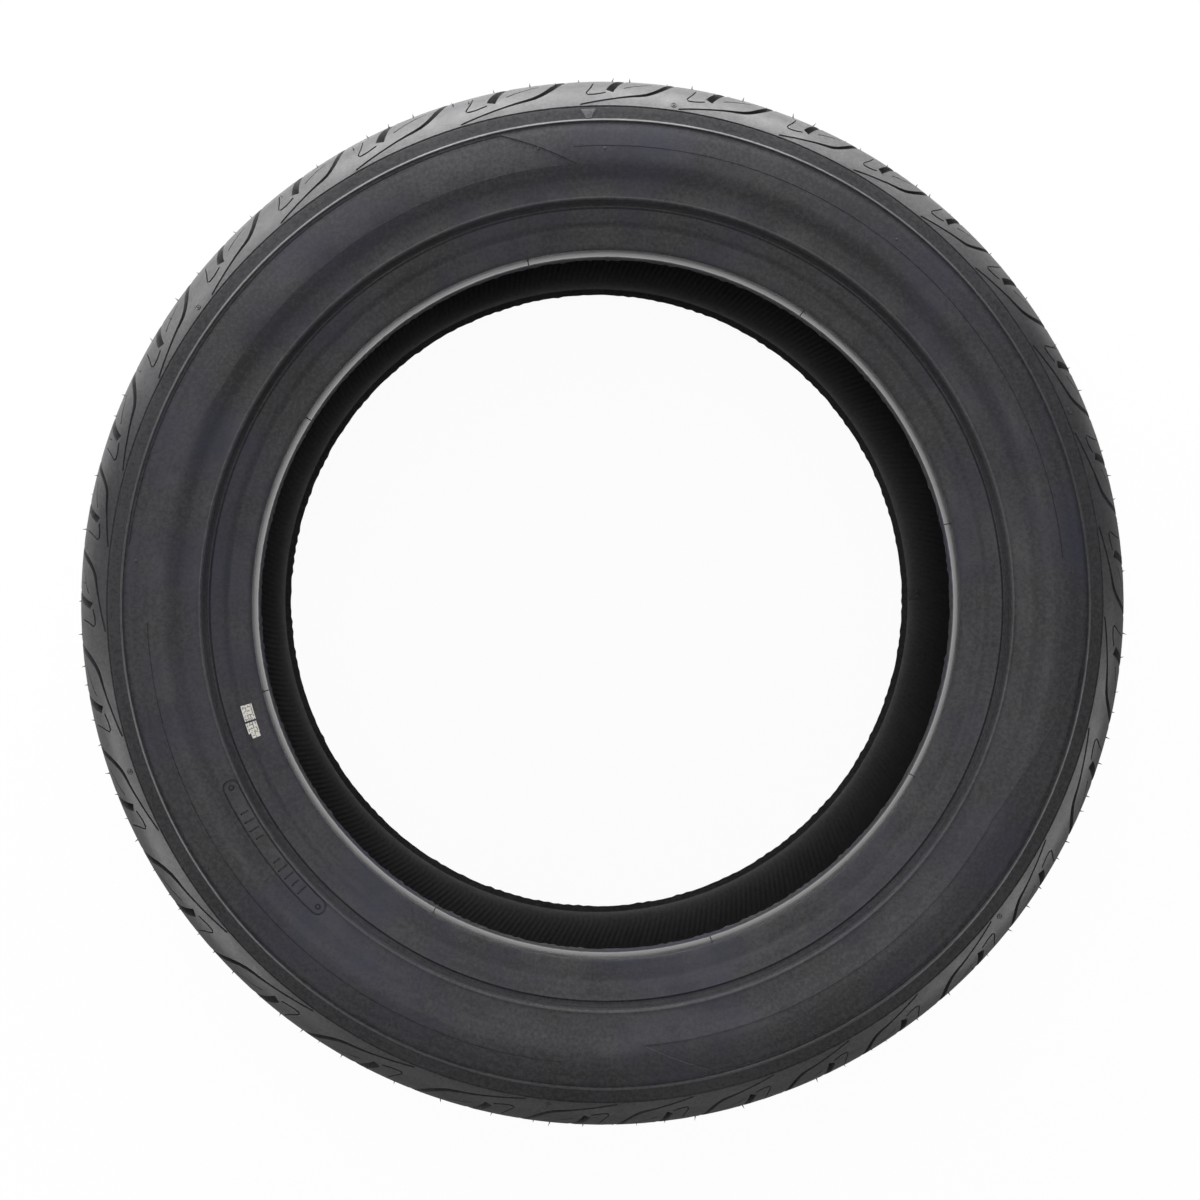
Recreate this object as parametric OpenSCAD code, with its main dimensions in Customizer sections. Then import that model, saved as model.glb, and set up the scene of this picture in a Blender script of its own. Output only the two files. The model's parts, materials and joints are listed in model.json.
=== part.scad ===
// A road car tyre, off its rim and lying on one sidewall, with a small printed label fixed beside one bead.
// Millimetres. The axle line is Z, the origin is the middle of the tyre, and the labelled side faces +Z.

/* [Main sizes] */
// Overall diameter over the tread
overall_d = 668; // [650:1:690]
// Width across the two sidewalls at their widest
section_w = 226; // [218:1:234]
// Diameter of the two bead seats, where the rim presses in
bead_seat_d = 436.6; // [434:0.2:439]
// Width from one bead heel to the other, as moulded
bead_w = 184; // [178:1:190]
// Height of the widest point over the ledge, as a share of the height from the ledge to the tread
widest_share = 0.321; // [0.27:0.003:0.36]

/* [Tread] */
// Depth of the four main grooves
tread_depth = 8.2; // [5:0.2:9]
// Depth of the slots that run across the tread
slot_depth = 7.2; // [4.4:0.2:7.6]
// Width of the four main grooves at the tread face
main_groove_w = 9.6; // [7:0.2:12]
// Height of the wear bars that cross the main grooves
wear_bar_h = 1.6; // [1:0.1:2.4]
// Length of a wear bar along its groove
wear_bar_len = 7; // [4:0.5:10]
// Distance of the two inner main grooves from the middle of the tread
inner_groove_z = 19; // [16:0.5:22]
// Distance of the two outer main grooves from the middle of the tread
outer_groove_z = 55.5; // [53:0.5:57]
// Radius of the tread arc across the tyre
crown_arc_r = 700; // [500:10:1500]
// Width of the tread arc, between the two rounded shoulders
crown_w = 124; // [120:1:128]
// Width that every slot gets on top of its own
slot_extra_w = 0; // [0:0.1:0.8]
// Length of a middle pitch of the tread pattern, where a short pitch is 1
middle_pitch = 1.19; // [1.1:0.01:1.25]
// Length of a long pitch of the tread pattern, where a short pitch is 1
long_pitch = 1.39; // [1.3:0.01:1.5]

/* [Sidewall] */
// Thickness of the sidewall at its widest
sidewall_t = 6.8; // [5:0.2:9]
// Thickness of the casing and rubber under the middle of the tread, with the tread's own depth
crown_t = 14; // [13:0.2:16]
// Radius of the sidewall's curve at its widest point, on the tread side
upper_side_r = 62; // [55:1:72]
// Radius of the sidewall's curve at its widest point, on the bead side
lower_side_r = 42; // [37:1:48]
// How far the sidewall curves in from its widest point to the shoulder
shoulder_fall = 7.5; // [6:0.1:9]
// How far the sidewall curves in from its widest point to the ledge
ledge_fall = 9.4; // [8.4:0.1:10.4]
// Height of the raised band under the shoulder
band_h = 0.9; // [0.5:0.1:1.4]
// Radial width of the raised band under the shoulder
band_w = 10.2; // [8:0.2:13]
// Depth of the two long panels sunk in each sidewall
panel_depth = 0.6; // [0.3:0.1:1]

/* [Bead] */
// Length of the straight seat of each bead, along the axle
seat_len = 8; // [6:0.5:10]
// Radius of the rounded heel between the bead seat and the flange face
heel_r = 5.5; // [4:0.5:7]
// Slope of the flange face, in degrees
flange_slope = 10; // [6:1:13]
// Radial distance from the bead seat to the ledge that hides the rim's edge
ledge_rise = 33.2; // [31:0.2:35]

/* [Label] */
// Length of the label along the bead
label_len = 22.3; // [16:0.1:26]
// Width of the label
label_w = 8.4; // [6:0.2:8.6]
// Thickness of the label
label_t = 0.3; // [0.2:0.05:0.5]

/* [Hidden] */
$fn = 96;

crown_r = overall_d / 2;
bead_r = bead_seat_d / 2;
half_w = section_w / 2;
half_bead = bead_w / 2;

// Landmarks of the section: the ledge, the widest point and the lower edge of the shoulder, as distances from the axle
ledge_r = bead_r + ledge_rise;
wide_r = ledge_r + widest_share * (crown_r - ledge_r);
shoulder_share = 0.321;
edge_r = crown_r - shoulder_share * (crown_r - ledge_r);

function sum_to(v, n, i = 0) = i < n ? v[i] + sum_to(v, n, i + 1) : 0;
function back(v) = [for (i = [len(v) - 1:-1:0]) v[i]];
function flipped(p) = [for (q = back(p)) [q[0], -q[1]]];
function along(a) = [cos(a), sin(a)];
function arc(c, r, a0, a1, n) = [for (i = [0:n]) c + r * along(a0 + (a1 - a0) * i / n)];
function bend(a, b, c, d, t) =
    pow(1 - t, 3) * a + 3 * pow(1 - t, 2) * t * b + 3 * (1 - t) * t * t * c + pow(t, 3) * d;
function curve(a, b, c, d, n) = [for (i = [0:n]) bend(a, b, c, d, i / n)];

// Radius of the tread face at a height
function tread_r(z) = crown_r - crown_arc_r + sqrt(pow(crown_arc_r, 2) - z * z);

// Height of the plain sidewall at a radius: round at the widest point, and down by its fall at the far end
function side_curve(share, span, r, fall) =
    let (bulge = span * span / 2 / r)
    bulge * pow(share, 2) + (fall - bulge) * pow(share, 3);
function side_z(r) =
    let (span = r > wide_r ? edge_r - wide_r : ledge_r - wide_r, share = (r - wide_r) / span)
    half_w - (r > wide_r
        ? side_curve(share, span, upper_side_r, shoulder_fall)
        : side_curve(share, span, lower_side_r, ledge_fall));

// The heel of the bead is tangent to its seat and to the flange face
seat_top = half_bead - heel_r;
seat_low = seat_top - seat_len;
heel = arc([bead_r + heel_r, seat_top], heel_r, 90 + flange_slope, 180, 8);
function flange_z(r) = heel[0][1] + (r - heel[0][0]) * tan(flange_slope);

// The rounded shoulder, from the end of the tread arc down to the edge over the raised band
crown_edge = [tread_r(crown_w / 2), crown_w / 2];
edge = [edge_r, side_z(edge_r)];
edge_a = 63;
shoulder_a = asin(crown_w / 2 / crown_arc_r);
crown_pull = 0.51 * (edge[1] - crown_edge[1]);
edge_pull = 0.64 * (crown_r - edge_r);
crown_handle = crown_edge + crown_pull * [-sin(shoulder_a), cos(shoulder_a)];
edge_handle = edge + edge_pull * [sin(edge_a), -cos(edge_a)];
shoulder_n = 7;
function shoulder_at(t) = bend(crown_edge, crown_handle, edge_handle, edge, t);
shoulder = [for (i = [0:shoulder_n]) shoulder_at(i / shoulder_n)];
function shoulder_normal(t) =
    let (d = shoulder_at(min(t + 0.01, 1)) - shoulder_at(max(t - 0.01, 0)))
    [d[1], -d[0]] / norm(d);

// Radius of the tread face or the shoulder at any height
shoulder_table = [for (p = shoulder) [p[1], p[0]]];
function face_r(z) = z > crown_w / 2 ? lookup(z, shoulder_table) : tread_r(z);

// The raised band, a narrow groove above it and a rounded ridge below it
band_gap = 1.6;
ridge_w = 1.3;
band_out_r = edge_r - band_gap;
ridge_r = edge_r - band_w;
side_top_r = ridge_r - ridge_w;
function band_point(r) = [r, side_z(r) + band_h];
band = [
    edge - [band_gap / 2, 0.5],
    band_point(band_out_r),
    band_point((band_out_r + ridge_r) / 2),
    band_point(ridge_r + 1),
    band_point(ridge_r) + [0, 0.1],
    [ridge_r - 0.8, side_z(ridge_r - 0.8) + 0.6 * band_h],
    [side_top_r, side_z(side_top_r)]
];

// The sidewall itself, down to the step at the ledge
ledge_round = 1.6;
side_low_r = ledge_r + ledge_round;
side_n = 14;
side_face = [
    for (i = [1:side_n])
        let (r = side_top_r + (side_low_r - side_top_r) * i / side_n)
        [r, side_z(r)]
];

// The ledge drops into a shallow valley, then the rubber runs on to the flange face
valley = [ledge_r - 3.9, half_bead + 7.2];
valley_a = 24;
flange_end_r = ledge_r - 13;
flange_end = [flange_end_r, flange_z(flange_end_r)];
ledge = [
    [ledge_r + 0.5, side_z(ledge_r + 0.5) - 0.35],
    [ledge_r - 0.4, side_z(ledge_r) - 1.1],
    valley + [1.5, 0.9]
];
lower_side = back(curve(
    flange_end, flange_end + 3.5 * along(flange_slope), valley - 3 * along(valley_a), valley, 5
));

// The toe of the bead and the inside of the casing
toe = [
    [bead_r, seat_low],
    [bead_r - 1, seat_low - 1.6],
    [bead_r - 0.7, seat_low - 2.3],
    [bead_r + 1.7, seat_low - 3.2]
];
inner_n = 12;
inner_wide = [wide_r, half_w - sidewall_t];
inner_crown_r = crown_r - crown_t;
inner_low_run = wide_r - toe[3][0];
inner_high_run = inner_crown_r - wide_r;
inner_lower = curve(
    toe[3], toe[3] + [0.38 * inner_low_run, 0], inner_wide - [0.28 * inner_low_run, 0], inner_wide, inner_n
);
inner_upper = curve(
    inner_wide, inner_wide + [0.57 * inner_high_run, 0],
    [inner_crown_r - 1.4, 0.8 * half_w], [inner_crown_r - 0.6, 0.4 * half_w], inner_n
);

crown_line = [for (z = [0, inner_groove_z, outer_groove_z]) if (z < crown_w / 2) [tread_r(z), z]];
outer_half = concat(crown_line, shoulder, band, side_face, ledge, lower_side, heel);
inner_half = concat(
    toe,
    [for (i = [1:inner_n]) inner_lower[i]],
    [for (i = [1:inner_n]) inner_upper[i]]
);
casing = concat(outer_half, inner_half, [[inner_crown_r, 0]], flipped(inner_half), flipped(outer_half));

// A main groove runs all the way round, a little narrower at its floor than at the face
groove_taper = 1;
groove_clear = 3;
function groove_floor_r(z) = face_r(abs(z)) - tread_depth;
module groove_outline(z) {
    floor_r = groove_floor_r(z);
    floor_half = main_groove_w / 2 - groove_taper;
    mouth_half = main_groove_w / 2 + groove_taper * groove_clear / tread_depth;
    mouth_r = floor_r + tread_depth + groove_clear;
    polygon([[floor_r, z - floor_half], [floor_r, z + floor_half], [mouth_r, z + mouth_half], [mouth_r, z - mouth_half]]);
}

module section() {
    difference() {
        polygon(casing);
        for (z = [inner_groove_z, outer_groove_z]) {
            groove_outline(z);
            groove_outline(-z);
        }
    }
}

// The pitches of the tread pattern in their order round the tyre: 0 short, 1 middle, 2 long
pitch_order = [
    1, 1, 0, 0, 0, 1, 1, 1, 1, 2, 2, 1, 1, 0, 0, 0,
    0, 1, 2, 2, 2, 2, 1, 1, 0, 0, 1, 1, 1, 1, 2, 2
];
pitch_size = [1, middle_pitch, long_pitch];
pitch_units = [for (k = pitch_order) pitch_size[k]];
degrees_per_unit = 360 / sum_to(pitch_units, len(pitch_units));
first_notch = 88.5;

// The slots are drawn on a pitch of this many degrees, and stretched to the others. The far half of the
// pattern is the near half turned half round, and moved along the tread by far_turn of the drawn degrees.
drawn_pitch = 11.28;
far_turn = 4.5;

// Each slot runs between two heights, along points of [degrees from the notch, share of the way, half width]
slots = [
    // The long sweep that leans along the shoulder's edge, then runs in to the outer groove
    [edge[1], outer_groove_z, [[-3.9, 0.007, 0.25], [0.9, 0.075, 0.45], [3.7, 0.146, 1], [5.4, 0.39, 1.9], [7.5, 1, 2]]],
    // The straighter slot below the notch in the shoulder
    [edge[1], outer_groove_z, [[-0.75, 0.16, 1.5], [0.9, 0.53, 2], [2.2, 1, 2]]],
    // The slots of the two ribs between the grooves and of the middle rib, each open at one end
    [outer_groove_z, inner_groove_z, [[3.2, 0, 1.5], [5.4, 0.62, 1.2]]],
    [inner_groove_z, 0, [[6.2, 0, 1.3], [7.4, 0.63, 1]]]
];

function slot_line(s, scale) = [
    for (q = s[2])
        let (z = s[0] + (s[1] - s[0]) * q[1])
        [-face_r(z) * sin(q[0] * scale), z]
];
function heading(p, i) =
    let (d = p[min(i + 1, len(p) - 1)] - p[max(i - 1, 0)])
    d / norm(d);
function slot_side(p, s, way) = [
    for (i = [0:len(p) - 1])
        let (h = heading(p, i))
        p[i] + way * (s[2][i][2] + slot_extra_w / 2) * [-h[1], h[0]]
];
function ribbon(s, scale) =
    let (p = slot_line(s, scale))
    concat(slot_side(p, s, 1), back(slot_side(p, s, -1)));

slot_in_r = edge_r - 5;
slot_out_r = crown_r + 5;

module slot_cutters(scale) {
    for (s = slots)
        translate([slot_in_r, 0, 0]) rotate([90, 0, 90])
            linear_extrude(slot_out_r - slot_in_r) polygon(ribbon(s, scale));
}

function pitch_scale(i) = pitch_units[i] * degrees_per_unit / drawn_pitch;
module both_halves(i) {
    notch_a = first_notch - degrees_per_unit * sum_to(pitch_units, i);
    rotate([0, 0, notch_a]) children();
    rotate([180, 0, notch_a - far_turn * pitch_scale(i)]) children();
}

// Slots run deep over the tread and fade out where the shoulder ends
fade_depth = 0.7;
function slot_depth_at(t) = fade_depth + (slot_depth - fade_depth) * (1 - pow(t, 2.2));
floor_n = 5;
shoulder_floor = [
    for (i = [0:floor_n])
        let (t = i / floor_n)
        shoulder_at(t) - slot_depth_at(t) * shoulder_normal(t)
];

// The space that the slots may cut: over their floors and clear of the raised band
module slot_zone() {
    zone_end = edge + [3.4, 4];
    floor_half = concat([for (z = [0, crown_w / 4]) [tread_r(z) - slot_depth, z]], shoulder_floor);
    out_r = slot_out_r + 1;
    rotate_extrude() polygon(concat(
        flipped(floor_half), floor_half,
        [zone_end, [out_r, zone_end[1]], [out_r, -zone_end[1]], [zone_end[0], -zone_end[1]]]
    ));
}

module tread_slots() {
    intersection() {
        slot_zone();
        union() for (i = [0:len(pitch_order) - 1]) both_halves(i) slot_cutters(pitch_scale(i));
    }
}

// Wear bars stand on the groove floors in every fourth pitch, between the mouths of the slots
wear_bar_turn = -0.3;
bar_root = 1;
module wear_bars() {
    for (i = [0:4:len(pitch_order) - 1]) both_halves(i)
        for (z = [inner_groove_z, outer_groove_z])
            rotate([0, 0, -wear_bar_turn * pitch_scale(i)])
                translate([groove_floor_r(z) - bar_root, -wear_bar_len / 2, z - main_groove_w / 2])
                    cube([bar_root + wear_bar_h, wear_bar_len, main_groove_w]);
}

// A long panel, sunk evenly below the sidewall, with one swept end and one slanted end
panel_out_r = side_top_r - 0.9;
panel_in_r = wide_r - 7;
panel_sweep = [[0, 151], [0.1, 155], [0.35, 162], [0.7, 168.5], [1, 173]];
panel_slant = [[1, 103.1], [0, 94.2]];
function polar(r, a) = r * along(a);
function panel_edge(q) = polar(panel_in_r + (panel_out_r - panel_in_r) * q[0], q[1]);

module panel_plan() {
    inside_r = panel_in_r - 8;
    outside_r = crown_r;
    polygon(concat(
        [polar(inside_r, panel_slant[1][1]), polar(inside_r, panel_sweep[0][1])],
        [for (q = panel_sweep) panel_edge(q)],
        [for (i = [0:6]) polar(outside_r, panel_sweep[4][1] + (panel_slant[0][1] - panel_sweep[4][1]) * i / 6)],
        [for (q = panel_slant) panel_edge(q)]
    ));
}

module panel_recess() {
    steps = 6;
    radii = [for (i = [0:steps]) panel_in_r + (panel_out_r - panel_in_r) * i / steps];
    intersection() {
        rotate_extrude() polygon(concat(
            [for (r = radii) [r, side_z(r) - panel_depth]],
            [for (r = back(radii)) [r, half_w + 5]]
        ));
        linear_extrude(half_w + 10) panel_plan();
    }
}

module tyre() {
    color([0.19, 0.19, 0.21]) difference() {
        union() {
            rotate_extrude() section();
            wear_bars();
        }
        tread_slots();
        for (turn = [0, 180]) {
            rotate([0, 0, turn]) panel_recess();
            rotate([180, 0, turn]) panel_recess();
        }
    }
}

// The label lies on the flange face of the +Z bead, as a strip with one corner stepped in
label_mid_r = heel[0][0] + 9.4;
label_in_r = label_mid_r - label_w / 2;
label_out_r = label_mid_r + label_w / 2;
label_start_a = -164.4;
label_turn = label_len / label_mid_r * 180 / PI;
step_len = 3.6;
step_w = 2.1;

module label_skin() {
    lift = label_t * [-sin(flange_slope), cos(flange_slope)];
    low = [label_in_r, flange_z(label_in_r)];
    high = [label_out_r, flange_z(label_out_r)];
    rotate_extrude() polygon([low, high, high + lift, low + lift]);
}

module label_plan() {
    beyond = label_w;
    step_a = label_start_a + label_turn * (1 - step_len / label_len);
    end_a = label_start_a + label_turn;
    polygon([
        polar(label_in_r - beyond, label_start_a), polar(label_out_r + beyond, label_start_a),
        polar(label_out_r + beyond, step_a), polar(label_out_r - step_w, step_a),
        polar(label_out_r - step_w, end_a), polar(label_in_r - beyond, end_a)
    ]);
}

module barcode_label() {
    color([0.9, 0.9, 0.88]) intersection() {
        label_skin();
        linear_extrude(section_w) label_plan();
    }
}

tyre();
barcode_label();
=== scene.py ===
"""Looks of a road car tyre that lies on one sidewall, with a small label beside one bead."""

import json
import math
import random

import bmesh
import bpy
import numpy as np
from mathutils import Matrix, Vector
from mathutils.geometry import delaunay_2d_cdt


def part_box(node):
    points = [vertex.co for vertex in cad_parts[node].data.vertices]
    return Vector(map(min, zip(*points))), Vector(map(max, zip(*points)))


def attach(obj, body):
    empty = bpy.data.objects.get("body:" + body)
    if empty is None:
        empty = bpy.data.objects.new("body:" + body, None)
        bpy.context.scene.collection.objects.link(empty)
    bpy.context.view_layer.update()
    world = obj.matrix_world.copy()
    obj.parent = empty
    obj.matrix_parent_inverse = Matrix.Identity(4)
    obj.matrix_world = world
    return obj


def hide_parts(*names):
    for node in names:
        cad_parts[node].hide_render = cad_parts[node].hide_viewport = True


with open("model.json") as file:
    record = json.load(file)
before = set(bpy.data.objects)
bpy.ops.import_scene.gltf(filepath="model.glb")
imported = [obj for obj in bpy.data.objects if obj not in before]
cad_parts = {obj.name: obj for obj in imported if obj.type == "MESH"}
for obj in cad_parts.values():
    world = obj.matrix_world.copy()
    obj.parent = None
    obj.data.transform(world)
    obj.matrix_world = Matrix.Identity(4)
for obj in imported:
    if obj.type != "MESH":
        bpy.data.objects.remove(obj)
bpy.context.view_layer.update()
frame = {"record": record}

MM = 0.001
TAU = 2 * math.pi

# Sizes, in millimetres
BOX_GAP = 0.01  # the looks stay this far inside the CAD model's box
low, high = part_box("tyre")
CROWN_R = min(high.x, -low.x, high.y, -low.y) / MM - BOX_GAP
HALF_W = min(high.z, -low.z) / MM - BOX_GAP
BEAD_R = frame["record"]["mounts"][0]["dims"]["r_mm"]
HALF_BEAD = 92.0
LEDGE_R = BEAD_R + 33.2
# The widest place over the ledge, and the shoulder's edge under the tread, as shares of the height between
WIDEST_SHARE, SHOULDER_SHARE = 0.321, 0.321
WIDE_R = LEDGE_R + WIDEST_SHARE * (CROWN_R - LEDGE_R)
EDGE_R = CROWN_R - SHOULDER_SHARE * (CROWN_R - LEDGE_R)
# Radius of the sidewall's curve at its widest, and its fall to the shoulder's edge and to the ledge
UPPER_SIDE_R, SHOULDER_FALL = 62.0, 7.5
LOWER_SIDE_R, LEDGE_FALL = 42.0, 9.4
CROWN_HALF = 62.0
CROWN_ARC_R = 700.0
EDGE_LEAN = math.radians(63)  # of the face where it ends at the shoulder's edge
GROOVES = (19.0, 55.5)
GROOVE_HALF = 4.8
GROOVE_TAPER = 1.0
GROOVE_DEPTH = 8.2
SLOT_DEPTH = 7.2
SLOT_FADE = 0.7  # depth left at the shoulder's edge
SLOT_FADE_POWER = 2.2
WEAR_BAR_H = 1.6
WEAR_BAR_LEN = 7.0
WEAR_BAR_AT = -0.3  # degrees from the notch
WEAR_BAR_EVERY = 4  # pitches
PANEL_DEPTH = 0.6
SLOPE = math.radians(10)
HEEL_R = 5.5
SEAT_TOP = HALF_BEAD - HEEL_R
SEAT_LEN = 8.0
SEAT_LOW = SEAT_TOP - SEAT_LEN
SIDEWALL_T = 6.8
CROWN_T = 14.0
TOE = (BEAD_R + 1.7, SEAT_LOW - 3.2)  # where the lining starts

# Pitches of the tread pattern, clockwise from the top: 0 short, 1 middle, 2 long
PITCHES = [1, 1, 0, 0, 0, 1, 1, 1, 1, 2, 2, 1, 1, 0, 0, 0, 0, 1, 2, 2, 2, 2, 1, 1, 0, 0, 1, 1, 1, 1, 2, 2]
PITCH_SIZE = (1.0, 1.19, 1.39)
DRAWN_PITCH = 11.28  # degrees that one pitch is drawn on, before it is stretched to its place
FAR_TURN = 4.5  # drawn degrees that the far half of the pattern is moved by
FIRST_NOTCH = 1.2  # degrees clockwise from the top of the photo
PATTERN_SLIP = (-0.52, 0.30)  # degrees of slip round the tyre, by the sine and cosine of the place
MM_PER_DEG = 5.73

# What the faces of the tyre are made of, as numbers of its materials
ON_TREAD, ON_SIDE, ON_BEAD, ON_LINING, ON_BAND, ON_RIB, ON_MARK = range(7)

# Points this close to a border lie on it, and a middle this far inside it belongs to the drawing
BORDER_NEAR, BORDER_IN = 1e-3, 0.004
LOOP_STEP = 4.5  # longest step along an outline


def from_top(degrees):
    """The model's angle of a place given in degrees clockwise from the top of the photo."""
    return 90 - degrees


# The section
def side_curve(share, span, r, fall):
    """Fall of the sidewall from its widest place: round at first, then all of the fall at the span's end."""
    bulge = span * span / 2 / r
    return bulge * share**2 + (fall - bulge) * share**3


def side_z(r):
    """Height of the plain sidewall at a radius."""
    r = np.asarray(r, float)
    up, down = EDGE_R - WIDE_R, LEDGE_R - WIDE_R
    over = side_curve((r - WIDE_R) / up, up, UPPER_SIDE_R, SHOULDER_FALL)
    under = side_curve((r - WIDE_R) / down, down, LOWER_SIDE_R, LEDGE_FALL)
    return HALF_W - np.where(r > WIDE_R, over, under)


def bezier(a, b, c, d, t):
    t = np.asarray(t, float)[:, None]
    a, b, c, d = (np.asarray(p, float) for p in (a, b, c, d))
    return (1 - t) ** 3 * a + 3 * (1 - t) ** 2 * t * b + 3 * (1 - t) * t * t * c + t**3 * d


def lengths(line):
    """Distance along a line at each of its points."""
    return np.concatenate([[0], np.cumsum(np.linalg.norm(np.diff(line, axis=0), axis=1))])


def flange_z(r):
    """Height of a bead's sloping flange face."""
    heel_top = SEAT_TOP + HEEL_R * math.cos(SLOPE)
    return heel_top + (r - BEAD_R - HEEL_R + HEEL_R * math.sin(SLOPE)) * math.tan(SLOPE)


def tread_table():
    """The face from the middle to the shoulder's edge: distance along it, radius, height, slot depth."""
    z = np.linspace(0, CROWN_HALF, 63)
    arc = np.stack([CROWN_R - CROWN_ARC_R + np.sqrt(CROWN_ARC_R**2 - z * z), z], 1)
    edge = np.array([EDGE_R, float(side_z(EDGE_R))])
    lean = math.asin(CROWN_HALF / CROWN_ARC_R)
    t = np.linspace(0, 1, 81)
    start = arc[-1]
    out = start + 0.51 * (edge[1] - start[1]) * np.array([-math.sin(lean), math.cos(lean)])
    back = edge + 0.64 * (CROWN_R - EDGE_R) * np.array([math.sin(EDGE_LEAN), -math.cos(EDGE_LEAN)])
    shoulder = bezier(start, out, back, edge, t)
    line = np.concatenate([arc, shoulder[1:]])
    share = np.concatenate([np.zeros(len(arc)), t[1:]])
    depth = SLOT_FADE + (SLOT_DEPTH - SLOT_FADE) * (1 - share**SLOT_FADE_POWER)
    return lengths(line), line[:, 0], line[:, 1], depth


FACE_S, FACE_R, FACE_Z, FACE_DEPTH = tread_table()
S_END = float(FACE_S[-1])
SLOPE_R = np.gradient(FACE_R, FACE_S)
SLOPE_Z = np.gradient(FACE_Z, FACE_S)


def s_at(z):
    """Distance along the face at a height."""
    return np.interp(z, FACE_Z, FACE_S)


def face_r(z):
    return np.interp(z, FACE_Z, FACE_R)


def face_point(s, height):
    """Radius and height of a point of the tread face, lifted off it by height."""
    a = np.abs(s)
    nr, nz = np.interp(a, FACE_S, SLOPE_Z), -np.interp(a, FACE_S, SLOPE_R)
    r, z = np.interp(a, FACE_S, FACE_R), np.interp(a, FACE_S, FACE_Z)
    return r + height * nr, np.sign(s) * (z + height * nz)


# Mesh tools
def linked(name, data):
    made = bpy.data.objects.new(name, data)
    bpy.context.scene.collection.objects.link(made)
    return made


class Shell:
    """Points and faces of one closed surface, gathered zone by zone."""

    def __init__(self):
        self.points, self.faces, self.kinds, self.count = [], [], [], 0

    def add(self, points):
        points = np.asarray(points, float)
        self.points.append(points)
        self.count += len(points)
        return np.arange(self.count - len(points), self.count)

    def face(self, faces, kind):
        self.faces.extend(faces)
        self.kinds.extend([kind] * len(faces))

    def strip(self, outer, inner, kind):
        """Quads between two rings of as many points, both anticlockwise seen from their outer side."""
        n = len(outer)
        self.face([(outer[i], outer[(i + 1) % n], inner[(i + 1) % n], inner[i]) for i in range(n)], kind)

    def bridge(self, outer, outer_a, inner, inner_a, kind):
        """Triangles between two rings of unlike numbers of points, whose angles rise from about one start."""
        n, m, i, j, faces = len(outer), len(inner), 0, 0, []
        while i < n or j < m:
            next_outer = outer_a[i + 1] if i + 1 < n else outer_a[0] + TAU
            next_inner = inner_a[j + 1] if j + 1 < m else inner_a[0] + TAU
            if j >= m or (i < n and next_outer <= next_inner):
                faces.append((outer[i % n], outer[(i + 1) % n], inner[j % m]))
                i += 1
            else:
                faces.append((outer[i % n], inner[(j + 1) % m], inner[j % m]))
                j += 1
        self.face(faces, kind)

    def build(self, name, materials):
        mesh = bpy.data.meshes.new(name)
        points = np.concatenate(self.points) * MM
        faces = [tuple(int(v) for v in f) for f in self.faces]
        mesh.from_pydata([tuple(p) for p in points.tolist()], [], faces)
        for m in materials:
            mesh.materials.append(m)
        mesh.polygons.foreach_set("material_index", self.kinds)
        mesh.validate()
        mesh.update()
        mesh.shade_smooth()
        mesh.set_sharp_from_angle(angle=math.radians(32))
        return linked(name, mesh)


def ring(r, z, angles):
    """Points of a ring; r and z are numbers or one value for each angle."""
    r, z = np.broadcast_to(r, angles.shape), np.broadcast_to(z, angles.shape)
    return np.stack([r * np.cos(angles), r * np.sin(angles), z], 1)


def inside(points, loop, slack=0.02):
    """Which points lie in a closed loop, or within slack of it."""
    loop = np.asarray(loop, float)
    x, y = points[:, 0:1], points[:, 1:2]
    a, b = loop, np.roll(loop, -1, 0)
    ax, ay, bx, by = a[:, 0], a[:, 1], b[:, 0], b[:, 1]
    cross = (ay > y) != (by > y)
    with np.errstate(divide="ignore", invalid="ignore"):
        at = ax + (y - ay) / (by - ay) * (bx - ax)
    odd = (cross & (x < at)).sum(1) % 2 == 1
    return odd | (distance(points, a, b) < slack)


def distance(points, a, b):
    """Distance of each point from the nearest of the segments a-b."""
    best = np.full(len(points), 1e9)
    for p, q in zip(a, b):
        d = q - p
        t = np.clip(((points - p) @ d) / max(float(d @ d), 1e-12), 0, 1)
        best = np.minimum(best, np.linalg.norm(points - p - t[:, None] * d, axis=1))
    return best


def rectangle(x0, x1, y0, y1):
    return np.array([(x0, y0), (x1, y0), (x1, y1), (x0, y1)], float)


def border(xy, x):
    """Numbers of the points that lie at x, by their place along the border."""
    found = np.where(np.abs(xy[:, 0] - x) < BORDER_NEAR)[0]
    return found[np.argsort(xy[found, 1])]


def resampled(points, step):
    """A smooth line through points, with a point about every step."""
    p = np.asarray(points, float)
    out = []
    for i in range(len(p) - 1):
        a, b = p[max(i - 1, 0)], p[min(i + 2, len(p) - 1)]
        n = max(1, int(math.ceil(np.linalg.norm((p[i + 1] - p[i])[:2]) / step)))
        for k in range(n):
            t = k / n
            m0, m1 = (p[i + 1] - a) / 2, (b - p[i]) / 2
            out.append(
                (2 * t**3 - 3 * t**2 + 1) * p[i] + (t**3 - 2 * t**2 + t) * m0
                + (3 * t**2 - 2 * t**3) * p[i + 1] + (t**3 - t**2) * m1
            )
    out.append(p[-1])
    return np.array(out)


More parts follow.
